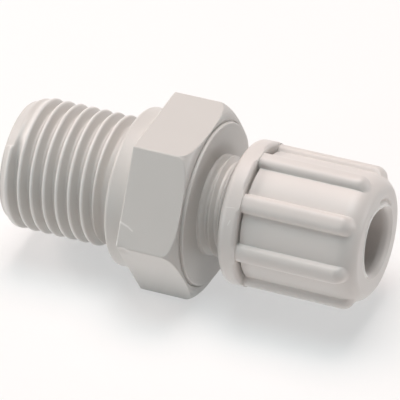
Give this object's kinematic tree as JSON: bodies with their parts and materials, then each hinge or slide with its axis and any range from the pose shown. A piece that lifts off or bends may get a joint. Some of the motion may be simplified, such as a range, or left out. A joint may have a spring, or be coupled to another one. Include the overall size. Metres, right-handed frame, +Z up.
{
  "type": "straight pipe coupling",
  "caption": "Moulded plastic screw-in coupling: parallel pipe thread, spanner hexagon and a ribbed union nut that clamps a push-on tube.",
  "frame": {"origin": "on the coupling's axis, in the plane of the collar's sealing face", "axes": "+X along the axis from the pipe thread to the union nut, +Z up, square to the level flat of the hexagon that the part lies on"},
  "size_m": [0.0372, 0.0196, 0.017],
  "materials": {
    "body_plastic": "satin moulded polypropylene, light warm grey",
    "nut_plastic": "satin moulded polypropylene, light warm grey"
  },
  "bodies": {
    "body": {"coupling_body": "body_plastic"},
    "nut": {"union_nut": "nut_plastic"}
  },
  "joints": [
    {"name": "union_nut_turn", "type": "hinge", "parent": "body", "child": "nut", "pos_m": [0.0114, 0, 0], "axis": [1, 0, 0], "continuous": true}
  ]
}
